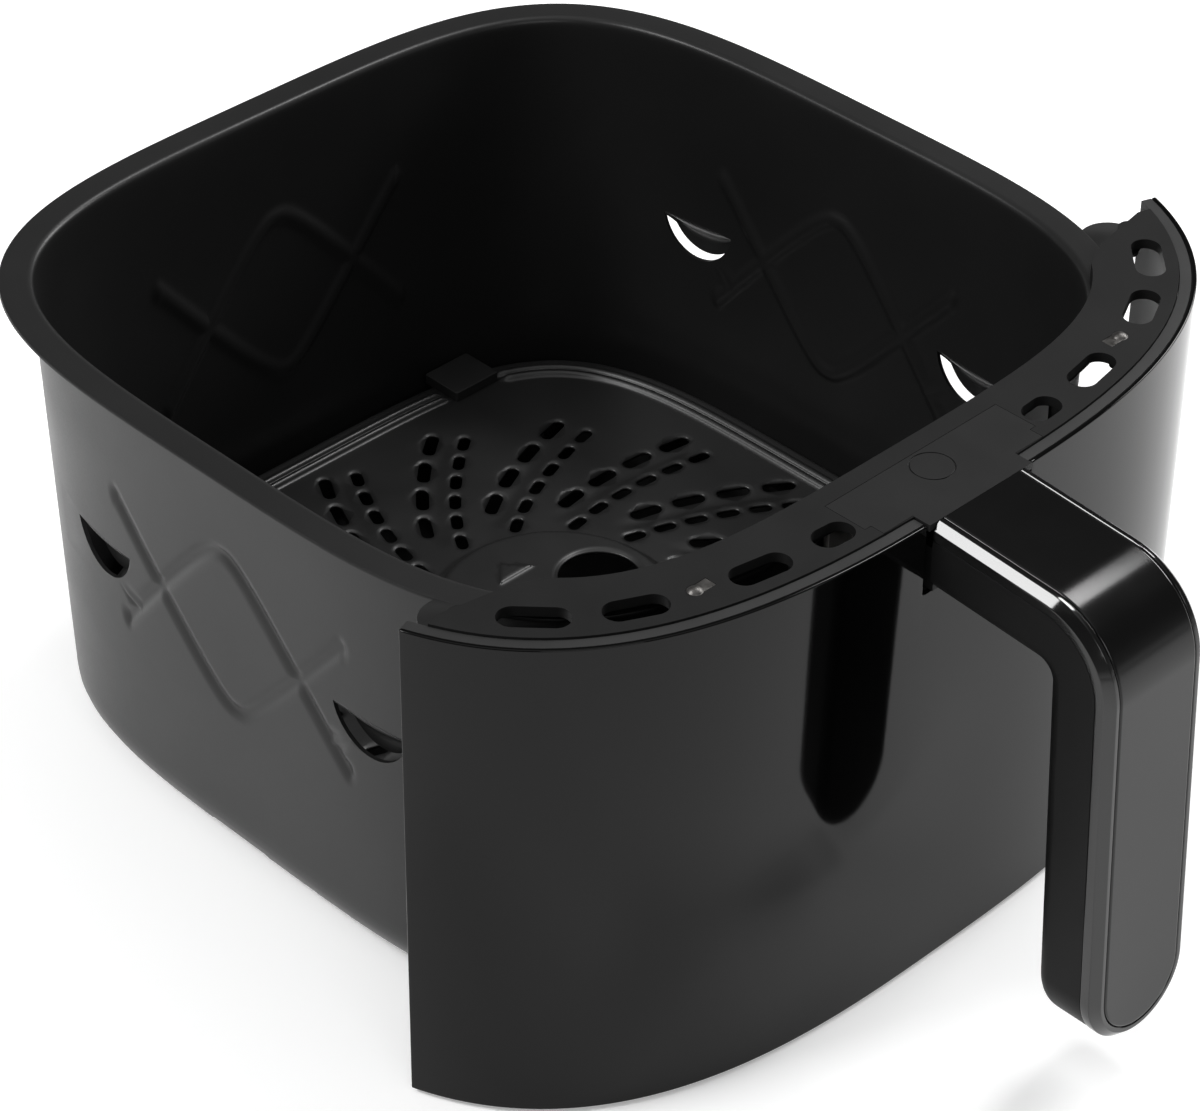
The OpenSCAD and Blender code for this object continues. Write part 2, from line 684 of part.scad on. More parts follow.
// Silicone bumpers clipped over the edge of the plate
bumper_out = 3.6;
bumper_in = 11.5;
bumper_top = 3.4;
function bumper_edge(sy) = sy * (crisp_b * pow(1 - pow(bumper_x / crisp_a, crisp_n), 1 / crisp_n));
module bumper_seat(sx, sy) {
    translate([sx * bumper_x, crisp_y + bumper_edge(sy), plate_z])
        union() {
            translate([-bumper_w / 2 + 1.5, -3, -6]) cube([bumper_w - 3, 6, 10]);
            translate([-bumper_w / 2 - 0.2, sy > 0 ? -bumper_in - 0.2 : -5, 0])
                cube([bumper_w + 0.4, bumper_in + 5.2, 10]);
        }
}
module bumper(sx, sy) {
    translate([sx * bumper_x, crisp_y + bumper_edge(sy), plate_z]) {
        translate([-bumper_w / 2 + 1.6, -2.9, -5.9]) cube([bumper_w - 3.2, 2.9 + 0.2 * sy + 2.7, 5.9]);
        translate([-bumper_w / 2, sy > 0 ? -bumper_in : -bumper_out, 0])
            cube([bumper_w, bumper_in + bumper_out, bumper_top]);
    }
}
module bumper_back_left() color("#161617") in_frame() bumper(-1, 1);
module bumper_back_right() color("#161617") in_frame() bumper(1, 1);
module bumper_front_left() color("#161617") in_frame() bumper(-1, -1);
module bumper_front_right() color("#161617") in_frame() bumper(1, -1);

pot();
pot_mount_plate();
mount_nuts();
lower_stay();
stay_screws();
bracket();
wing_screws();
clip_left();
clip_right();
cover_plate();
front_panel();
panel_frame();
frame_screws();
heat_shield();
handle_tang();
tang_screws();
handle_inner_shell();
handle_outer_frame();
handle_face_plate();
handle_screws();
crisper_plate();
crisper_legs();
bumper_back_left();
bumper_back_right();
bumper_front_left();
bumper_front_right();
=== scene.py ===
import math

import bmesh
import bpy
import numpy as np
from mathutils import Euler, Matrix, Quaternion, Vector
from mathutils.geometry import delaunay_2d_cdt


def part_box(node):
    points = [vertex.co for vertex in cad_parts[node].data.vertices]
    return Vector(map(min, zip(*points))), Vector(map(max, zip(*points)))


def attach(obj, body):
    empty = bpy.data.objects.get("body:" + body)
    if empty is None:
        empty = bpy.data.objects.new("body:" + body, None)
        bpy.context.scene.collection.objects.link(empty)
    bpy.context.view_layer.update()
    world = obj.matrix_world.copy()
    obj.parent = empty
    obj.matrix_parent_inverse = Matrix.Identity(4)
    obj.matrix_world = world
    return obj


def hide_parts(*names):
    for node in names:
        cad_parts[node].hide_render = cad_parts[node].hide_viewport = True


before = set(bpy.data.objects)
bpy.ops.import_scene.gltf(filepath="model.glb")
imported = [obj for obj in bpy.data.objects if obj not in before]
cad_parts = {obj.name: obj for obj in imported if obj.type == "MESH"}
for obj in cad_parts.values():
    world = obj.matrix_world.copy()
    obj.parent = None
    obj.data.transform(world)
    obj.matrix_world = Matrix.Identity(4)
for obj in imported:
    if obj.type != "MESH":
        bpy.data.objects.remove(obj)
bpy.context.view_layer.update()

mm = 0.001
scene = bpy.context.scene
scene.view_settings.view_transform = "Standard"

# ---- Studio: floor, light and camera ----
# A pale seamless floor and a sky that is bright low down and darker overhead. One broad light stands
# on the right with a small one above it, one behind on the left, and a weak one beside the camera.

floor_half, floor_drop = 12, 0.4 * mm
floor_glow = 0.26
sky_steps = ((0.0, 0.9), (0.10, 0.8), (0.32, 0.16), (0.7, 0.12), (1.0, 0.3))
sky_strength = 0.9
aim_height = 0.08


def plain_material(name, colour, roughness):
    """The floor's material: one colour that is a little uneven, with a faint glow."""
    material = bpy.data.materials.new(name)
    material.use_nodes = True
    nodes, links = material.node_tree.nodes, material.node_tree.links
    shader = nodes["Principled BSDF"]
    shader.inputs["Roughness"].default_value = roughness
    shader.inputs["Emission Color"].default_value = (1, 1, 1, 1)
    shader.inputs["Emission Strength"].default_value = floor_glow
    noise = nodes.new("ShaderNodeTexNoise")
    noise.inputs["Scale"].default_value = 3
    tint = nodes.new("ShaderNodeMix")
    tint.data_type = "RGBA"
    tint.inputs["A"].default_value = (*colour, 1)
    tint.inputs["B"].default_value = (*(0.98 * c for c in colour), 1)
    links.new(noise.outputs["Fac"], tint.inputs["Factor"])
    links.new(tint.outputs["Result"], shader.inputs["Base Color"])
    return material


floor_mesh = bpy.data.meshes.new("floor")
floor_corners = [(x * floor_half, y * floor_half, 0) for x, y in ((-1, -1), (1, -1), (1, 1), (-1, 1))]
floor_mesh.from_pydata(floor_corners, [], [(0, 1, 2, 3)])
floor = bpy.data.objects.new("floor", floor_mesh)
floor.location.z = -floor_drop
scene.collection.objects.link(floor)
floor_mesh.materials.append(plain_material("pale_floor", (0.93, 0.93, 0.93), 0.6))

world = bpy.data.worlds.new("studio")
scene.world = world
world.use_nodes = True
sky, sky_links = world.node_tree.nodes, world.node_tree.links
direction = sky.new("ShaderNodeTexCoord")
parts = sky.new("ShaderNodeSeparateXYZ")
fade = sky.new("ShaderNodeValToRGB")
for place, shade in sky_steps:
    stop = fade.color_ramp.elements.new(place) if 0 < place < 1 else fade.color_ramp.elements[int(place)]
    stop.color = (shade, shade, shade, 1)
sky_links.new(direction.outputs["Generated"], parts.inputs["Vector"])
sky_links.new(parts.outputs["Z"], fade.inputs["Fac"])
sky_links.new(fade.outputs["Color"], sky["Background"].inputs["Color"])
sky["Background"].inputs["Strength"].default_value = sky_strength


def soft_light(name, direction, distance, size, power):
    """A rectangular light that faces the middle of the object from a direction."""
    lamp = bpy.data.lights.new(name, "AREA")
    lamp.shape = "RECTANGLE"
    lamp.size, lamp.size_y = size
    lamp.energy = power
    light = bpy.data.objects.new(name, lamp)
    light.location = Vector(direction).normalized() * distance + Vector((0, 0, aim_height))
    light.rotation_euler = Vector(direction).to_track_quat("Z", "Y").to_euler()
    scene.collection.objects.link(light)


soft_light("light_bend", (0.56, 0.0, 0.83), 1.7, (0.5, 0.26), 9)
soft_light("light_right", (0.9, -0.15, 0.5), 1.9, (1.0, 0.5), 22)
soft_light("light_back_left", (-0.62, 0.34, 0.71), 1.7, (0.7, 0.5), 18)
soft_light("light_front", (-0.5, -0.9, 0.55), 2.4, (1.2, 0.8), 8)

camera_data = bpy.data.cameras.new("camera")
camera_data.lens = 118.1
camera_data.sensor_width = 36
camera_data.clip_start = 0.05
camera = bpy.data.objects.new("camera", camera_data)
camera.location = (-0.6391, -0.61785, 0.7419)
down, turn, roll = 36.85, -44.74, 0.58
aim = Euler((math.radians(90 - down), 0, math.radians(turn))).to_quaternion()
camera.rotation_mode = "QUATERNION"
camera.rotation_quaternion = aim @ Quaternion((0, 0, 1), math.radians(roll))
scene.collection.objects.link(camera)
scene.camera = camera

# ---- Pot ----
# One deep-drawn sheet of steel, 1.2 mm thick, with a black non-stick coat: a flat rim with a small
# curl, leaning walls, a round lower edge, crossed stiffening beads and two lanced louvres on each side.
# A channel is pressed across the base, and an ear on each side of the rim takes a screw.

pot_lo, pot_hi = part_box("pot")
sheet = 1.2 * mm
ear_stand = 4 * mm
ear_radius = 9 * mm
rim_half_w = pot_hi.x - ear_stand
rim_half_d = (pot_hi.y - pot_lo.y) / 2
mid_y = (pot_hi.y + pot_lo.y) / 2
rim_z = pot_hi.z
rim_power = 3.77
flange = 10 * mm
lean = 4 * mm
base_round, round_steps, base_rings = 14.8 * mm, 8, 46


def rounded_square(half_w, half_d, power, stations):
    """Points and outward directions round a rounded square, at stations given as shares of its length."""

    def spot(angle):
        wide, deep = np.abs(np.cos(angle) / half_w), np.abs(np.sin(angle) / half_d)
        radius = (wide**power + deep**power) ** (-1 / power)
        return radius * np.cos(angle), radius * np.sin(angle)

    angle = np.linspace(0, 2 * np.pi, 4001)
    x, y = spot(angle)
    length = np.concatenate([[0], np.cumsum(np.hypot(np.diff(x), np.diff(y)))])
    points = np.stack(spot(np.interp(np.asarray(stations) % 1 * length[-1], length, angle)), -1)
    slope = np.sign(points) * (np.abs(points) / (half_w, half_d)) ** (power - 1) / (half_w, half_d)
    return points, slope / np.linalg.norm(slope, axis=-1, keepdims=True)


def smooth(t):
    """0 below 0, 1 above 1, and an S curve between."""
    t = np.clip(t, 0, 1)
    return t * t * (3 - 2 * t)


def wall_inset(z):
    """How far the wall's inner face lies inside the rim's edge at a height."""
    return flange + lean * (1 - z / rim_z)


bead_depth, bead_half, bead_flat = 1.0 * mm, 3.3 * mm, 1.25
bead_z, bead_span = rim_z - 62.5 * mm, 33 * mm
bead_y = 3.5 * mm
far_off = 9.0  # further away than anything on the wall
bead_reach, bead_drop, bead_round, bead_slope = 47 * mm, 27 * mm, 8 * mm, 1.18


def bead_push(points, z):
    """How far the crossed beads push the wall inward at places on it."""
    x, y = points[..., 0], points[..., 1]
    side = np.abs(x) / rim_half_w > np.abs(y) / rim_half_d
    across = np.where(side, y - bead_y, x)
    across = np.where(side | (y > 0), across, far_off)
    held = np.clip(across, -bead_reach, bead_reach)
    line = np.sqrt((bead_slope * held) ** 2 + bead_round**2) - bead_round - bead_drop
    steep = bead_slope**2 * held / np.sqrt((bead_slope * held) ** 2 + bead_round**2)
    push = 0
    for flip in (1, -1):
        off = np.hypot((z - bead_z - flip * line) / np.sqrt(1 + steep**2), across - held)
        push = np.maximum(push, smooth(bead_flat * (1 - off / bead_half)))
    return bead_depth * push


def wall_place(share, z):
    """Places on the wall's inner face and their outward directions, for shares of a turn and heights."""
    edge, out = rounded_square(rim_half_w, rim_half_d, rim_power, share)
    inset = wall_inset(z) + bead_push(edge, z)
    flat = edge - inset[..., None] * out
    return np.stack([flat[..., 0], flat[..., 1] + mid_y, z], -1), out


def spread_rows(stops):
    """Values that run through the stops (value, step to the next), evenly within each stretch."""
    rows = []
    for (a, step), (b, _) in zip(stops, stops[1:]):
        n = max(1, round(abs(b - a) / step))
        rows += [a + (b - a) * k / n for k in range(n)]
    return rows + [stops[-1][0]]


def grid_faces(rows, columns, first=0, closed=True):
    """Quads of a grid of rows by columns, closed round on itself or open."""
    last = columns if closed else columns - 1
    return [(first + r * columns + c, first + r * columns + (c + 1) % columns,
             first + (r + 1) * columns + (c + 1) % columns, first + (r + 1) * columns + c)
            for r in range(rows - 1) for c in range(last)]


# Places on the wall are given as shares of one turn. turn_length is the length that a turn stands for
# here: it is about 7% more than the rim's own, so a louvre comes out narrower than its values say.
turn_length = 0.9835
fine, coarse, plain_step = 1.1 * mm, 2.6 * mm, 3 * mm
bead_share = 0.056
round_stops = []
for quarter in range(4):
    fine_here = coarse if quarter == 3 else fine
    centre = quarter / 4 + (bead_y / turn_length) * (1, 0, -1, 0)[quarter]
    round_stops.append((centre - bead_share, fine_here / turn_length))
    round_stops.append((centre + bead_share, coarse / turn_length))
round_stops.append((round_stops[0][0] + 1, 0))
shares = np.array(spread_rows(round_stops)[:-1])
columns = len(shares)

wall_top, wall_foot = rim_z - 4.2 * mm, sheet + base_round
louvre_top = rim_z - 61 * mm
louvre_reach, louvre_height, louvre_out = 15 * mm, 12.5 * mm, 4.6 * mm
louvre_places = (65 * mm, -57 * mm)
field_half, field_above, field_below, field_middle = 21 * mm, 4 * mm, 17 * mm, 5 * mm
flap_width, flap_length, flap_sink = 0.985, 0.97, 0.1 * mm
flap_columns, flap_rows = 28, 10
heights = spread_rows([(wall_top, plain_step), (bead_z + bead_span, fine), (bead_z - bead_span, plain_step),
                       (wall_foot, 1)])

pot_points = []
rim_edge, rim_out = rounded_square(rim_half_w, rim_half_d, rim_power, shares)


def add_row(inset, z):
    """One more row of points round the pot, at an inset from the rim's edge and a height."""
    flat = rim_edge - np.asarray(inset)[..., None] * rim_out
    pot_points.extend(zip(flat[:, 0], flat[:, 1] + mid_y, np.broadcast_to(z, columns)))


rim_profile = ((0.0, 0.9), (0.05, 0.5), (0.3, 0.15), (0.9, 0.0), (4, 0.0), (7.6, 0.0), (8.3, 0.06),
               (9.0, 0.35), (9.55, 0.9), (9.85, 1.7), (9.95, 2.7))
for inset, drop in rim_profile:
    add_row(inset * mm, rim_z - drop * mm)
rim_rows = len(rim_profile)
for z in heights:
    place, _ = wall_place(shares, np.full(columns, z))
    pot_points.extend(map(tuple, place))

channel_half, channel_rise, channel_y = 12 * mm, 7 * mm, mid_y + 10 * mm
channel_slope = 5 * mm


def floor_height(y, z):
    """The base's height: at least z, and raised where the pressed channel crosses it."""
    within = channel_half + channel_slope - np.abs(y - channel_y)
    lift = channel_rise * smooth(within / channel_slope) + sheet
    return np.maximum(z, lift)


foot_inset = wall_inset(wall_foot)
for k in range(1, round_steps + 1):
    tilt = math.radians(90 * k / round_steps)
    inset = foot_inset + base_round * (1 - math.cos(tilt))
    y = rim_edge[:, 1] - inset * rim_out[:, 1] + mid_y
    add_row(np.full(columns, inset), floor_height(y, wall_foot - base_round * math.sin(tilt)))
base_edge = rim_edge - (foot_inset + base_round) * rim_out
for share in np.linspace(1, 0.02, base_rings)[1:]:
    flat = base_edge * share
    z = floor_height(flat[:, 1] + mid_y, np.full(columns, sheet))
    pot_points.extend(zip(flat[:, 0], flat[:, 1] + mid_y, z))
all_rows = len(pot_points) // columns
pot_faces = grid_faces(all_rows, columns)
pot_faces.append(tuple((all_rows - 1) * columns + c for c in range(columns)))
cut = set()


def louvre(side, y):
    """Cuts a louvre's half-moon out of the wall's grid and adds the lanced flap, pushed towards +X."""
    edge = np.array(pot_points[rim_rows * columns:(rim_rows + 1) * columns])
    near = [c for c in range(columns) if edge[c][0] * side > 0 and abs(edge[c][1] - mid_y - y) < field_half]
    start = min(near, key=lambda c: (shares[c] - shares[near[0]] + 0.5) % 1)
    ring_columns = [(start + k) % columns for k in range(len(near))]
    ring_rows = [r for r, z in enumerate(heights) if louvre_top - field_below < z < louvre_top + field_above]
    r0, r1 = rim_rows + ring_rows[0], rim_rows + ring_rows[-1]
    inside = {(r, c) for r in range(r0, r1) for c in ring_columns[:-1]}
    cut.update(inside)
    border = [r0 * columns + c for c in ring_columns]
    border += [r * columns + ring_columns[-1] for r in range(r0 + 1, r1 + 1)]
    border += [r1 * columns + c for c in reversed(ring_columns[:-1])]
    border += [r * columns + ring_columns[0] for r in range(r1 - 1, r0, -1)]
    mid_share = (0.0 if side > 0 else 0.5) + side * y / turn_length
    arc_radius = (louvre_reach**2 + louvre_height**2) / (2 * louvre_height)
    centre = louvre_top - field_middle
    first = len(pot_points)
    spots = []
    for v in border:
        row, column = divmod(v, columns)
        across = (shares[column] - mid_share + 0.5) % 1 - 0.5
        a, b = across * turn_length, heights[row - rim_rows] - centre
        up = (louvre_top - centre) / b if b > 0 else far_off
        ray = math.hypot(a, b)
        dip = arc_radius - louvre_height + louvre_top - centre
        dot = b * dip / ray
        reach = dot + math.sqrt(dot * dot + arc_radius**2 - dip**2)
        scale = min(up, reach / ray)
        spots.append((a, b, a * scale, b * scale))
    for tip in (-louvre_reach, louvre_reach):
        from_tip = [math.hypot(c - tip, d - louvre_top + centre) for _, _, c, d in spots]
        k = from_tip.index(min(from_tip))
        spots[k] = (*spots[k][:2], tip, louvre_top - centre)
    for blend in (0.5, 0.85, 1.0):
        for a, b, c, d in spots:
            u, w = a + (c - a) * blend, b + (d - b) * blend
            place, _ = wall_place(np.array([mid_share + u / turn_length]), np.array([centre + w]))
            pot_points.append(tuple(place[0]))
    n = len(border)
    for k in range(n):
        nxt = (k + 1) % n
        pot_faces.append((border[k], border[nxt], first + nxt, first + k))
    pot_faces.extend(grid_faces(3, n, first))
    flap = len(pot_points)
    for j in range(flap_rows + 1):
        for i in range(flap_columns + 1):
            u = louvre_reach * (2 * i / flap_columns - 1) * flap_width
            depth = math.sqrt(arc_radius**2 - u * u) - (arc_radius - louvre_height)
            v = j / flap_rows
            z = louvre_top - v * depth * flap_length
            place, out = wall_place(np.array([mid_share + u / turn_length]), np.array([z]))
            push = louvre_out * float(smooth(v / 0.6)) * smooth(depth / (0.5 * louvre_height))
            push = float(push) * side - flap_sink
            pot_points.append((place[0][0] + push * out[0][0], place[0][1] + push * out[0][1], place[0][2]))
    pot_faces.extend(grid_faces(flap_rows + 1, flap_columns + 1, flap, closed=False))


for louvre_side in (-1, 1):
    for louvre_y in louvre_places:
        louvre(louvre_side, louvre_y)
pot_faces = [f for k, f in enumerate(pot_faces)
             if k >= (all_rows - 1) * columns or (k // columns, k % columns) not in cut]


def texture_group(name, inputs, outputs):
    """An empty node group with named sockets, and its nodes and links."""
    group = bpy.data.node_groups.new(name, "ShaderNodeTree")
    for title, kind in inputs:
        group.interface.new_socket(name=title, in_out="INPUT", socket_type=kind)
    for title, kind in outputs:
        group.interface.new_socket(name=title, in_out="OUTPUT", socket_type=kind)
    return group, group.nodes.new("NodeGroupInput"), group.nodes.new("NodeGroupOutput")


NUMBER, COLOUR = "NodeSocketFloat", "NodeSocketColor"
coat_group, given, made = texture_group(
    "coat_grain",
    [("Grain", NUMBER), ("Cloud", NUMBER), ("Deep", COLOUR), ("Pale", COLOUR), ("Smooth", NUMBER),
     ("Rough", NUMBER)],
    [("Colour", COLOUR), ("Roughness", NUMBER), ("Height", NUMBER)])
nodes, join = coat_group.nodes, coat_group.links.new
coordinates = nodes.new("ShaderNodeTexCoord")
grain = nodes.new("ShaderNodeTexNoise")
grain.inputs["Detail"].default_value = 3
cloud = nodes.new("ShaderNodeTexNoise")
cloud.inputs["Detail"].default_value = 5
cloud.inputs["Roughness"].default_value = 0.6
tint = nodes.new("ShaderNodeMix")
tint.data_type = "RGBA"
both = nodes.new("ShaderNodeMath")
both.operation = "MULTIPLY_ADD"
both.inputs[1].default_value = 0.35
spread = nodes.new("ShaderNodeMapRange")
spread.inputs["From Min"].default_value = 0.4
spread.inputs["From Max"].default_value = 0.95
for texture, size in ((grain, "Grain"), (cloud, "Cloud")):
    join(coordinates.outputs["Object"], texture.inputs["Vector"])
    join(given.outputs[size], texture.inputs["Scale"])
join(cloud.outputs["Fac"], tint.inputs["Factor"])
join(given.outputs["Deep"], tint.inputs["A"])
join(given.outputs["Pale"], tint.inputs["B"])
join(grain.outputs["Fac"], both.inputs[0])
join(cloud.outputs["Fac"], both.inputs[2])
join(both.outputs["Value"], spread.inputs["Value"])
join(given.outputs["Smooth"], spread.inputs["To Min"])
join(given.outputs["Rough"], spread.inputs["To Max"])
join(tint.outputs["Result"], made.inputs["Colour"])
join(spread.outputs["Result"], made.inputs["Roughness"])
join(grain.outputs["Fac"], made.inputs["Height"])


def coated(name, deep, pale, smooth_value, rough_value, grain_size, cloud_size, bump, **shader_values):
    """A material whose colour, gloss and fine relief vary: grain_size and cloud_size are in metres."""
    material = bpy.data.materials.new(name)
    material.use_nodes = True
    nodes, links = material.node_tree.nodes, material.node_tree.links
    shader = nodes["Principled BSDF"]
    for title, value in shader_values.items():
        shader.inputs[title.replace("_", " ")].default_value = value
    coat = nodes.new("ShaderNodeGroup")
    coat.node_tree = coat_group
    coat.inputs["Grain"].default_value = 1 / grain_size
    coat.inputs["Cloud"].default_value = 1 / cloud_size
    coat.inputs["Deep"].default_value = (*deep, 1)
    coat.inputs["Pale"].default_value = (*pale, 1)
    coat.inputs["Smooth"].default_value = smooth_value
    coat.inputs["Rough"].default_value = rough_value
    relief = nodes.new("ShaderNodeBump")
    relief.inputs["Strength"].default_value = 1
    relief.inputs["Distance"].default_value = bump
    links.new(coat.outputs["Colour"], shader.inputs["Base Color"])
    links.new(coat.outputs["Roughness"], shader.inputs["Roughness"])
    links.new(coat.outputs["Height"], relief.inputs["Height"])
    links.new(relief.outputs["Normal"], shader.inputs["Normal"])
    return material


def grey(value, warm=0.0):
    """A grey, or a metal's warm grey where warm is above 0."""
    return (value * (1 + warm), value, value * (1 - warm))


def add_piece(name, points, faces, material, body, slot, *nodes, thickness=0.0, bevel=0.0, steps=2,
              closed=False):
    """A mesh of the object, thickened and rounded, parented to its body, with the CAD nodes it stands in for
    hidden; slot is not used.
    """
    mesh = bpy.data.meshes.new(name)
    mesh.from_pydata([tuple(map(float, p)) for p in points], [], faces)
    mesh.materials.append(material)
    mesh.polygons.foreach_set("use_smooth", [True] * len(mesh.polygons))
    if closed:
        work = bmesh.new()
        work.from_mesh(mesh)
        bmesh.ops.recalc_face_normals(work, faces=work.faces)
        work.to_mesh(mesh)
        work.free()
    piece = bpy.data.objects.new(name, mesh)
    scene.collection.objects.link(piece)
    if thickness:
        wall = piece.modifiers.new("thickness", "SOLIDIFY")
        wall.thickness, wall.offset = thickness, -1
        wall.use_even_offset = True
    if bevel:
        round_edges(piece, bevel, steps)
    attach(piece, body)
    if nodes:
        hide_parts(*nodes)
    return piece


def round_edges(piece, width, steps=2, corner=34):
    """Rounds the sharp edges of a piece and keeps its flat faces flat."""
    bevel = piece.modifiers.new("edges", "BEVEL")
    bevel.width, bevel.segments = width, steps
    bevel.limit_method, bevel.angle_limit = "ANGLE", math.radians(corner)
    bevel.use_clamp_overlap = True
    flat = piece.modifiers.new("flat_faces", "WEIGHTED_NORMAL")
    flat.keep_sharp = True


pot_coat = coated("black_non_stick_coat", grey(0.009), grey(0.013), 0.30, 0.42, 0.6 * mm, 60 * mm, 0.012 * mm,
                  Specular_IOR_Level=0.3)
add_piece("pot_shell", pot_points, pot_faces, pot_coat, "drawer", "pot_steel", "pot",
          thickness=sheet, bevel=0.25 * mm)

ear_profile = ((9.0, 1.2), (0.2, 1.2), (0.0, 1.0), (0.0, 0.35), (0.2, 0.15), (9.0, 0.1))
ear_steps, ear_middle = 48, 0.01 * mm
ear_points, ear_faces = [], []
for side in (-1, 1):
    centre_x = side * (pot_hi.x - ear_radius)
    centre_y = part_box("front_panel")[1].y
    first = len(ear_points)
    for inset, drop in ear_profile:
        radius = ear_radius - inset * mm + ear_middle
        for turn in np.linspace(0, 2 * math.pi, ear_steps, endpoint=False):
            spot = (centre_x + radius * math.cos(turn), centre_y + radius * math.sin(turn), rim_z - drop * mm)
            ear_points.append(spot)
    ear_faces += grid_faces(len(ear_profile), ear_steps, first)
add_piece("pot_ears", ear_points, ear_faces, pot_coat, "drawer", "pot_steel")

# ---- Crisper plate ----
# A pressed steel plate with a black non-stick coat: a turned-down edge, two low beads inside it, a low
# dome with two finger holes and a small pointer, and a swirl of slots with shallow troughs between.

plate_lo, plate_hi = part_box("crisper_plate")
plate_half_w = (plate_hi.x - plate_lo.x) / 2
plate_half_d = (plate_hi.y - plate_lo.y) / 2
plate_y = (plate_hi.y + plate_lo.y) / 2
dome_rise, dome_foot, dome_edge = 4 * mm, 39 * mm, 34 * mm
plate_z = plate_hi.z - dome_rise
plate_power = 3.9
plate_sheet = 1.1 * mm
edge_drop, edge_round = 1.6 * mm, 1.8 * mm
bead_rise, bead_lines = 1.5 * mm, (6.2, 9.3)
trough_depth, trough_half = 0.8 * mm, 2.6 * mm
trough_lead, trough_spiral = -3.1, 33.9
trough_start, trough_end = 44 * mm, 4 * mm
slot_roll, slot_round = 0.45 * mm, 1.3 * mm
finger_roll, finger_round = 0.7 * mm, 1.4 * mm
finger_x, finger_radius = 18 * mm, 12.4 * mm
arms = 15
swirl_radius = plate_half_w - 18 * mm
slot_rows = ((0.0, 12.1, 4, 10.5, 4.0, 0.0, 38.0), (3.0, 9.2, 6, 7.2, 3.6, -6.2, 29.7))
first_turn = 94.8
pointer_foot, pointer_tip, pointer_half, pointer_row = 17, 24, 6.7, 14  # mm
pointer_side, pointer_rise, pointer_round = (0.72, 0.69), 0.55 * mm, 0.8 * mm


def swirl_slots():
    """Centre, direction, length and width of each slot, in rows of their distance along two spirals."""
    for arm in range(arms):
        for back, step, count, length, width, ahead, spiral in slot_rows:
            for k in range(count):
                start = swirl_radius - back * mm
                radius = start - k * step * mm
                turn = first_turn + arm * 360 / arms + ahead + spiral * math.log(start / radius)
                tilt = math.radians(turn) - math.atan(math.radians(spiral))
                spot = (radius * math.cos(math.radians(turn)), radius * math.sin(math.radians(turn)))
                yield spot, tilt, length * mm, width * mm


slots = list(swirl_slots())
slot_spots = np.array([spot for spot, _, _, _ in slots])
slot_turns = np.array([tilt for _, tilt, _, _ in slots])
slot_halves = np.array([(length - width) / 2 for _, _, length, width in slots])
slot_radii = np.array([width / 2 for _, _, _, width in slots])


def from_slots(points):
    """Distance of each point from the nearest slot's edge; negative inside a slot."""
    gap = points[:, None] - slot_spots[None]
    along = gap[..., 0] * np.cos(slot_turns) + gap[..., 1] * np.sin(slot_turns)
    beside = -gap[..., 0] * np.sin(slot_turns) + gap[..., 1] * np.cos(slot_turns)
    past = np.maximum(np.abs(along) - slot_halves, 0)
    return (np.hypot(past, beside) - slot_radii).min(1)


def from_fingers(points):
    """Distance from the nearest finger hole's edge."""
    return np.hypot(np.abs(points[:, 0]) - finger_x, points[:, 1]) - finger_radius


def from_edge(points):
    """Distance inward from the plate's edge."""
    wide, deep = np.abs(points[:, 0]) / plate_half_w, np.abs(points[:, 1]) / plate_half_d
    share = (wide**plate_power + deep**plate_power) ** (1 / plate_power)
    floor_share = np.maximum(share, 1e-6)
    slope_x = (wide / floor_share) ** (plate_power - 1) / plate_half_w
    slope_y = (deep / floor_share) ** (plate_power - 1) / plate_half_d
    return (1 - share) / np.hypot(slope_x, slope_y)


bumpers = ("bumper_back_left", "bumper_back_right", "bumper_front_left", "bumper_front_right")
bumper_boxes = [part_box(bumper) for bumper in bumpers]


def plate_height(points):
    """Relief of the plate: beads, dome, troughs, rolled holes and the pointer in the dome."""
    edge, slot, finger = from_edge(points), from_slots(points), from_fingers(points)
    radius = np.hypot(points[:, 0], points[:, 1])
    beads = np.maximum(*(smooth(1.5 - np.abs(edge - middle * mm) / (1.1 * mm)) for middle in bead_lines))
    for low, high in bumper_boxes:
        near = np.abs(points[:, 0] - (low.x + high.x) / 2) - (high.x - low.x) / 2
        same = np.sign(points[:, 1]) == np.sign((low.y + high.y) / 2 - plate_y)
        beads = beads * np.where(same, smooth((near - 0.4 * mm) / (2.5 * mm)), 1)
    z = bead_rise * beads - edge_drop * smooth(1 - edge / edge_round) ** 2
    z += dome_rise * smooth((dome_foot - radius) / (dome_foot - dome_edge))
    turn = np.degrees(np.arctan2(points[:, 1], points[:, 0]))
    middle = first_turn + trough_lead + trough_spiral * np.log(swirl_radius / np.maximum(radius, 20 * mm))
    off = (turn - middle + 180 / arms) % (360 / arms) - 180 / arms
    trough = np.exp(-((np.radians(off) * radius * 0.85 / trough_half) ** 2))
    fade_in = smooth((radius - trough_start) / (8 * mm))
    fade_out = smooth((swirl_radius + trough_end - radius) / (9 * mm))
    z -= trough_depth * trough * fade_in * fade_out
    z -= slot_roll * smooth(1 - slot / slot_round) + finger_roll * smooth(1 - finger / finger_round)
    slant = (pointer_tip * mm - points[:, 1]) * pointer_side[1] - np.abs(points[:, 0]) * pointer_side[0]
    pointer = np.minimum(points[:, 1] - pointer_foot * mm, slant)
    return z + pointer_rise * smooth(pointer / pointer_round + 0.5)


def ring_of(count, place):
    """Points that a function gives for angles spread evenly round a turn."""
    return [place(2 * math.pi * k / count) for k in range(count)]


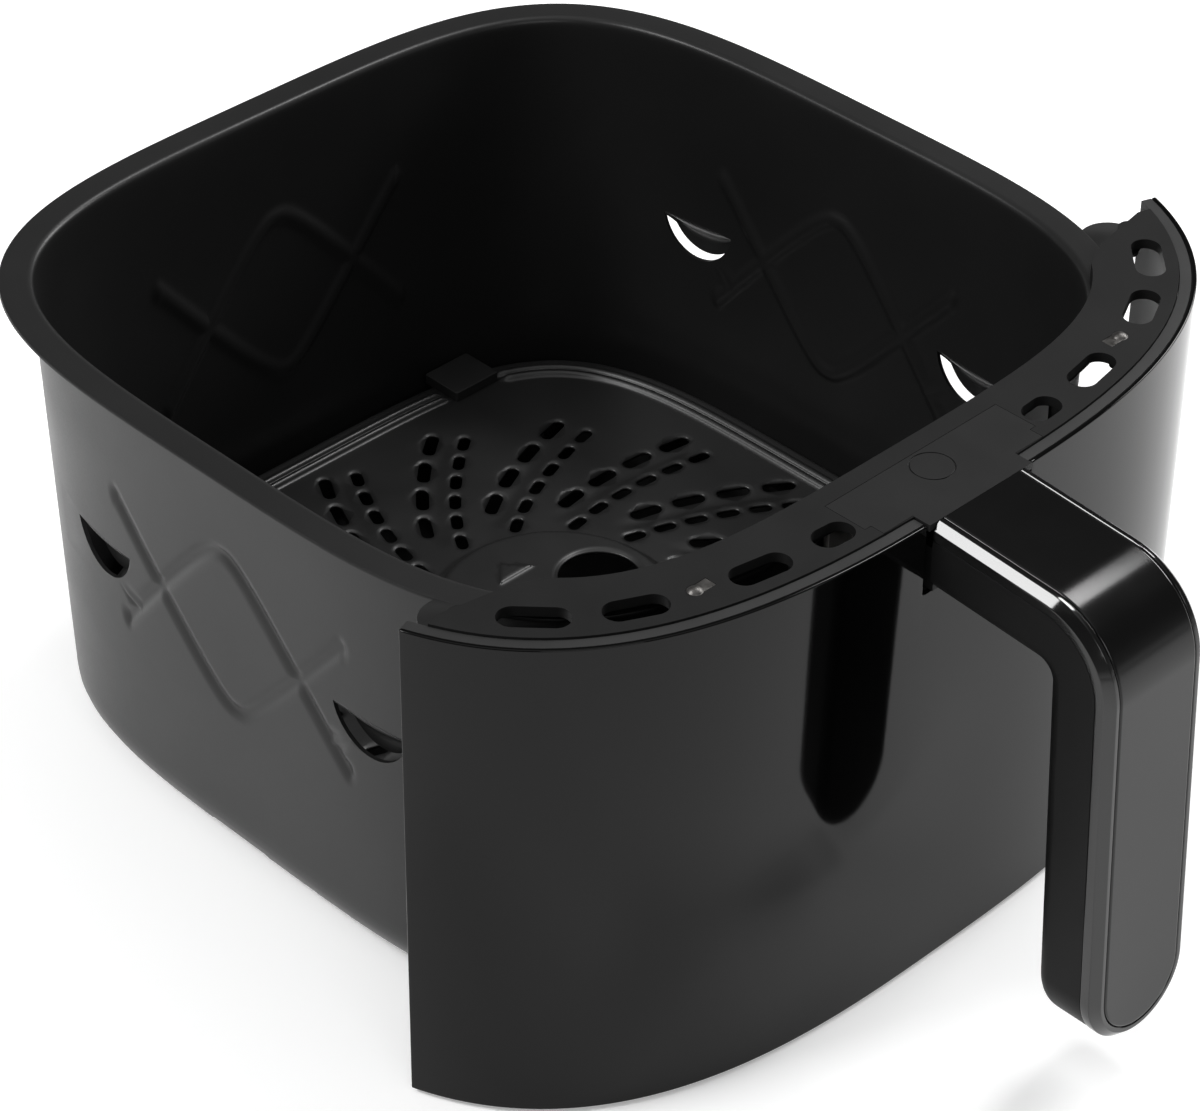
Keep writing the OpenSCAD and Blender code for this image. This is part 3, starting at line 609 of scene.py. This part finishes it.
edge_steps, slot_steps, finger_steps, dome_steps, pointer_steps = 440, 9, 72, 150, 60
edge_insets = (0, 0.3, 0.8, 1.4, 2.2, 3.4, 4.5, 5.1, 5.6, 6.2, 6.8, 7.3, 7.75, 8.2, 8.7, 9.3, 9.9, 10.4,
               11.0, 11.7)
lattice_step, lattice_reach = 1.9 * mm, 62
plate_spots = []
edge_shares = np.arange(edge_steps) / edge_steps
edge_points, edge_out = rounded_square(plate_half_w, plate_half_d, plate_power, edge_shares)
for inset in edge_insets:
    row = edge_points - inset * mm * edge_out
    plate_spots += [tuple(p) for p in row]
loops = [(0, edge_steps)]
for (sx, sy), tilt, length, width in slots:
    for grow in (0.0, 0.45, 0.95, 1.5):
        half, radius = (length - width) / 2, width / 2 + grow * mm
        first = len(plate_spots)
        for end in (1, -1):
            for k in range(slot_steps):
                a = math.radians(-90 + 180 * k / (slot_steps - 1))
                along, beside = end * (half + radius * math.cos(a)), end * radius * math.sin(a)
                plate_spots.append((sx + along * math.cos(tilt) - beside * math.sin(tilt),
                                    sy + along * math.sin(tilt) + beside * math.cos(tilt)))
        if grow == 0:
            loops.append((first, 2 * slot_steps))
for side in (-1, 1):
    for grow in (0.0, 0.35, 0.8, 1.4, 2.2):
        first = len(plate_spots)
        radius = finger_radius + grow * mm
        plate_spots += ring_of(
            finger_steps, lambda a: (side * finger_x + radius * math.cos(a), radius * math.sin(a)))
        if grow == 0:
            loops.append((first, finger_steps))
fixed = len(plate_spots)
for radius in np.arange(32.5, 41, 0.7):
    plate_spots += ring_of(dome_steps, lambda a: (radius * mm * math.cos(a), radius * mm * math.sin(a)))
for j in range(-lattice_reach, lattice_reach + 1):
    for i in range(-lattice_reach, lattice_reach + 1):
        plate_spots.append(((i + 0.5 * (j % 2)) * lattice_step, j * lattice_step * 0.9))
pointer_tall = pointer_tip - pointer_foot
for k in range(pointer_steps):
    along = k / (pointer_steps - 1)
    for d in (-0.4, 0, 0.4):
        plate_spots.append(((along - 0.5) * pointer_row * mm, pointer_foot * mm + d * mm))
    for flip in (-1, 1):
        for d in (-0.4, 0, 0.4):
            x = flip * (pointer_half + d) * (1 - along) * mm
            plate_spots.append((x, (pointer_foot + pointer_tall * along + 0.7 * d) * mm))
spots = np.array(plate_spots)
free = np.arange(len(spots)) >= fixed
clear = (from_slots(spots) > 1.9 * mm) & (from_fingers(spots) > 2.6 * mm) & (from_edge(spots) > 12 * mm)
keep = ~free | clear
order = np.cumsum(keep) - 1
spots = spots[keep]
outlines = [(int(order[f + k]), int(order[f + (k + 1) % n])) for f, n in loops for k in range(n)]
flat_points, _, flat_faces, _, _, _ = delaunay_2d_cdt([Vector(p) for p in spots], outlines, [], 0, 1e-7)
flat = np.array([tuple(p) for p in flat_points])
faces = np.array([f for f in flat_faces if len(f) == 3])
centres = flat[faces].mean(1)
kept = (from_slots(centres) > 0) & (from_fingers(centres) > 0) & (from_edge(centres) > 0)
faces = faces[kept]
height = plate_height(flat)
plate_points = [(x, y + plate_y, plate_z + z) for (x, y), z in zip(flat, height)]
plate_faces = [tuple(map(int, f)) for f in faces]
skirt_first = len(plate_points)
skirt_heights = (plate_z - edge_drop, plate_z - 3 * mm, plate_lo.z)
for z in skirt_heights:
    plate_points += [(x, y + plate_y, z) for x, y in edge_points]
plate_faces += grid_faces(len(skirt_heights), edge_steps, skirt_first)

crisper_coat = coated("crisper_non_stick_coat", grey(0.012), grey(0.019), 0.30, 0.42, 0.5 * mm, 30 * mm,
                      0.012 * mm)
crisper = add_piece("crisper_sheet", plate_points, plate_faces, crisper_coat, "crisper", "crisper_steel",
                    "crisper_plate")
weld = crisper.modifiers.new("weld", "WELD")
weld.merge_threshold = 0.02 * mm
wall = crisper.modifiers.new("thickness", "SOLIDIFY")
wall.thickness, wall.offset = plate_sheet, -1

# ---- Crisper legs ----
# Four bent feet of the same coated sheet, spot-welded under the crisper plate.
# They stand it off the base.


def dress(node, material, edge, steps=2):
    """Gives a part that comes from the frame its material, and rounds its edges."""
    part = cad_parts[node]
    part.data.materials.clear()
    part.data.materials.append(material)
    part.data.polygons.foreach_set("use_smooth", [True] * len(part.data.polygons))
    weld = part.modifiers.new("weld", "WELD")
    weld.merge_threshold = 0.005 * mm
    round_edges(part, edge, steps, corner=30)


dress("crisper_legs", crisper_coat, 0.3 * mm)

# ---- Bumpers ----
# Four moulded silicone clips pushed over the crisper plate's edge, two at the back and two in front.
# They press on the pot's wall, so the plate neither rattles nor scratches the coat.

silicone = coated("black_silicone", grey(0.008), grey(0.012), 0.55, 0.68, 0.4 * mm, 12 * mm, 0.02 * mm)
for bumper in bumpers:
    dress(bumper, silicone, 1.5 * mm, 4)

# ---- Front panel ----
# A swept skin of high-gloss black plastic, 1.4 mm thick, with a notch for the handle's arm.
# It is moulded with polished faces, and only its rim is rounded.

panel_lo, panel_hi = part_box("front_panel")
panel_spread, panel_depth, panel_power = 1.05, 120.7 * mm, 2.9
panel_curve = ((panel_hi.x - panel_lo.x) / 2 * panel_spread, panel_depth, panel_power)
panel_middle = panel_lo.y + panel_depth
panel_thick = 1.4 * mm
panel_steps = 90
notch_half, notch_z = 20 * mm, 133.4 * mm


def panel_line(half, count):
    """Points along the front of the sweep between -half and half in x, closer together beside the notch."""
    points, _ = rounded_square(*panel_curve, np.linspace(0.5, 1.0, 6001))
    length = np.concatenate([[0], np.cumsum(np.hypot(*np.diff(points, axis=0).T))])
    ends = np.interp((-half, -notch_half, notch_half, half), points[:, 0], length)
    sides = np.linspace(ends[0], ends[1], count)
    middle = np.linspace(ends[1], ends[2], count // 4)[1:-1]
    at = np.concatenate([sides, middle, np.linspace(ends[2], ends[3], count)])
    return np.stack([np.interp(at, length, points[:, k]) for k in (0, 1)], -1)


panel_points = panel_line(panel_hi.x, panel_steps)
panel_rows = np.array([panel_lo.z, 0.04, 0.08, 0.115, notch_z, panel_hi.z])
panel_columns = len(panel_points)
notch_row, notch_columns = len(panel_rows) - 2, range(panel_steps - 1, panel_columns - panel_steps)
skin_points = [(x, y + panel_middle, z) for z in panel_rows for x, y in panel_points]
skin_faces = [f for f in grid_faces(len(panel_rows), panel_columns, closed=False)
              if f[0] // panel_columns != notch_row or f[0] % panel_columns not in notch_columns]
panel_gloss = coated("gloss_black_plastic", grey(0.0004), grey(0.0008), 0.035, 0.075, 0.5 * mm, 90 * mm,
                     0.0003 * mm, Specular_IOR_Level=0.2)
add_piece("panel_skin", skin_points, skin_faces, panel_gloss, "drawer", "panel_gloss", "front_panel",
          thickness=panel_thick, bevel=0.45 * mm, steps=3)

# ---- Panel frame ----
# The ribbed carrier behind the skin, moulded in plain black plastic.
# Two screws hold it under the bracket.

frame_plastic = coated("frame_plastic", grey(0.010), grey(0.014), 0.42, 0.56, 0.35 * mm, 25 * mm, 0.01 * mm)
dress("panel_frame", frame_plastic, 0.3 * mm)

# ---- Bracket ----
# The moulded deck that joins the pot's rim to the panel, of finely textured black plastic.
# It has eight vent slots.

bracket_plastic = coated("textured_black_plastic", grey(0.009), grey(0.013), 0.46, 0.56, 0.3 * mm, 18 * mm,
                         0.018 * mm, Specular_IOR_Level=0.12)
dress("bracket", bracket_plastic, 0.4 * mm, 3)

# ---- Cover plate ----
# A thin plastic cover over the handle's screws, with a moulded circle in its middle.
# It lies flush in the bracket's deck.

cover_plastic = coated("cover_plastic", grey(0.011), grey(0.015), 0.42, 0.5, 0.3 * mm, 20 * mm, 0.010 * mm,
                       Specular_IOR_Level=0.17)
dress("cover_plate", cover_plastic, 0.25 * mm)

# ---- Clips ----
# Two spring clips of pressed steel.
# They poke through the bracket beside the cover.

clip_steel = coated("clip_steel", grey(0.06, 0.04), grey(0.13, 0.04), 0.3, 0.55, 0.8 * mm, 3 * mm, 0.06 * mm,
                    Metallic=1.0)
for clip in ("clip_left", "clip_right"):
    dress(clip, clip_steel, 0.3 * mm)

# ---- Handle outer frame ----
# The glossy front half of the handle: a U-shaped rail with a bright polished chamfer round the
# recess that takes the face plate.

frame_lo, frame_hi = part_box("handle_outer_frame")
handle_half = (frame_hi.x - frame_lo.x) / 2
bend_radius = 26 * mm
bend_y, bend_z = frame_hi.y - 34.7 * mm, 127.065 * mm
arm_fall, grip_lean = math.radians(4.3), math.radians(3.25)
arm_y, foot_z = frame_hi.y, frame_lo.z
arm_steps, turn_steps, grip_steps = 10, 41, 14


def handle_ring(inset, depth):
    """One U-shaped line round the handle, inset from its outline and sunk below its face."""
    half, radius = handle_half - inset * mm, bend_radius - depth * mm
    top_y, top_z = bend_y - radius * math.sin(arm_fall), bend_z + radius * math.cos(arm_fall)
    low_y, low_z = bend_y - radius * math.cos(grip_lean), bend_z + radius * math.sin(grip_lean)
    line = [(y, top_z + (y - top_y) * math.tan(arm_fall)) for y in np.linspace(arm_y, top_y, arm_steps)]
    for turn in np.linspace(arm_fall, math.pi / 2 - grip_lean, turn_steps)[1:]:
        line.append((bend_y - radius * math.sin(turn), bend_z + radius * math.cos(turn)))
    centre_z = foot_z + handle_half
    for z in np.linspace(low_z, centre_z, grip_steps)[1:]:
        line.append((low_y - (low_z - z) * math.tan(grip_lean), z))
    ring = [(-half, y, z) for y, z in line]
    for turn in np.linspace(0, math.pi, turn_steps)[1:-1]:
        z = centre_z - half * math.sin(turn)
        ring.append((-half * math.cos(turn), low_y - (low_z - z) * math.tan(grip_lean), z))
    return ring + [(half, y, z) for y, z in reversed(line)]


def handle_shape(profile):
    """Rings of (inset, depth) in mm joined in order, the first and last filled across and the root capped."""
    points = [p for inset, depth in profile for p in handle_ring(inset, depth)]
    count = len(points) // len(profile)
    faces = grid_faces(len(profile), count, closed=False)
    for first in (0, (len(profile) - 1) * count):
        across = [(k, k + 1, count - 2 - k, count - 1 - k) for k in range(count // 2 - 1)]
        across.append((count // 2 - 1, count // 2, count // 2 + 1))
        faces += [tuple(first + k for k in (face if first else face[::-1])) for face in across]
    rows = range(len(profile))
    faces.append(tuple([r * count for r in rows] + [r * count + count - 1 for r in reversed(rows)]))
    return points, faces


handle_gloss = coated("handle_gloss_plastic", grey(0.0015), grey(0.0025), 0.05, 0.10, 0.4 * mm, 40 * mm,
                      0.0004 * mm, Specular_IOR_Level=0.6)
rail_profile = ((3.75, 2.05), (3.72, 0.35), (3.5, 0.12), (2.45, 0.1), (2.2, 0.18), (0.2, 2.15), (0.04, 2.35),
                (0, 2.6), (0, 4.95), (0.1, 5.25), (0.4, 5.4), (2.6, 5.4), (2.6, 4.6))
outer_points, outer_faces = handle_shape(rail_profile)
add_piece("handle_rail", outer_points, outer_faces, handle_gloss, "drawer", "handle_gloss",
          "handle_outer_frame", bevel=0.06 * mm, closed=True)

# ---- Handle face plate ----
# The inlay of the handle: a satin plastic strip that runs along the arm and down the grip.
# It lies in the rail's recess.

face_satin = coated("satin_face_plastic", grey(0.0010), grey(0.0018), 0.12, 0.17, 0.3 * mm, 40 * mm,
                    0.002 * mm, Specular_IOR_Level=0.34)
inlay_profile = ((4.75, 0.0), (4.45, 0.03), (4.15, 0.15), (3.97, 0.36), (3.9, 0.65), (3.9, 1.98))
face_points, face_faces = handle_shape(inlay_profile)
add_piece("handle_inlay", face_points, face_faces, face_satin, "drawer", "face_satin", "handle_face_plate",
          bevel=0.05 * mm, closed=True)

# ---- Handle inner shell ----
# The back half of the handle, moulded hollow in matte black plastic with rounded back edges; its root
# passes through the panel's notch and is screwed up under the bracket.

handle_matte = coated("matte_handle_plastic", grey(0.004), grey(0.006), 0.40, 0.52, 0.25 * mm, 22 * mm,
                      0.012 * mm, Specular_IOR_Level=0.12)
back_radius, back_start = 5, 16.5  # mm
back_round = [(0.2 + back_radius * (1 - math.cos(t)), back_start + back_radius * math.sin(t))
              for t in np.linspace(0, math.pi / 2, 9)]
shell_profile = ((2.6, 19.1), (2.6, 5.45), (0.45, 5.45), (0.27, 5.52), (0.2, 5.75), *back_round)
shell_points, shell_faces = handle_shape(shell_profile)
root_first = len(shell_points)
root_half, root_low, root_high = 17.7 * mm, 134.0 * mm, 147.2 * mm
root_front, root_back = arm_y - 0.4 * mm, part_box("handle_inner_shell")[1].y
shell_points += [(x, y, z) for z in (root_low, root_high) for y in (root_front, root_back)
                 for x in (-root_half, root_half)]
shell_faces += [tuple(root_first + k for k in f) for f in
                ((0, 2, 3, 1), (4, 5, 7, 6), (0, 1, 5, 4), (2, 6, 7, 3), (0, 4, 6, 2), (1, 3, 7, 5))]
add_piece("handle_back", shell_points, shell_faces, handle_matte, "drawer", "handle_matte",
          "handle_inner_shell", bevel=0.15 * mm, closed=True)

# ---- Metal fittings ----
# Zinc-plated steel plates, stays, nuts and screws inside the front.
# The heat shield there is a thin sheet of aluminium.

zinc = coated("zinc_plated_steel", grey(0.42, 0.03), grey(0.55, 0.03), 0.28, 0.45, 0.7 * mm, 9 * mm,
              0.02 * mm, Metallic=1.0)
plated = ("pot_mount_plate", "mount_nuts", "lower_stay", "stay_screws", "wing_screws", "frame_screws",
          "handle_tang", "tang_screws", "handle_screws")
for part in plated:
    dress(part, zinc, 0.15 * mm)
aluminium = coated("heat_shield_aluminium", grey(0.62), grey(0.74), 0.2, 0.42, 1.2 * mm, 14 * mm, 0.006 * mm,
                   Metallic=1.0)
dress("heat_shield", aluminium, 0.12 * mm)
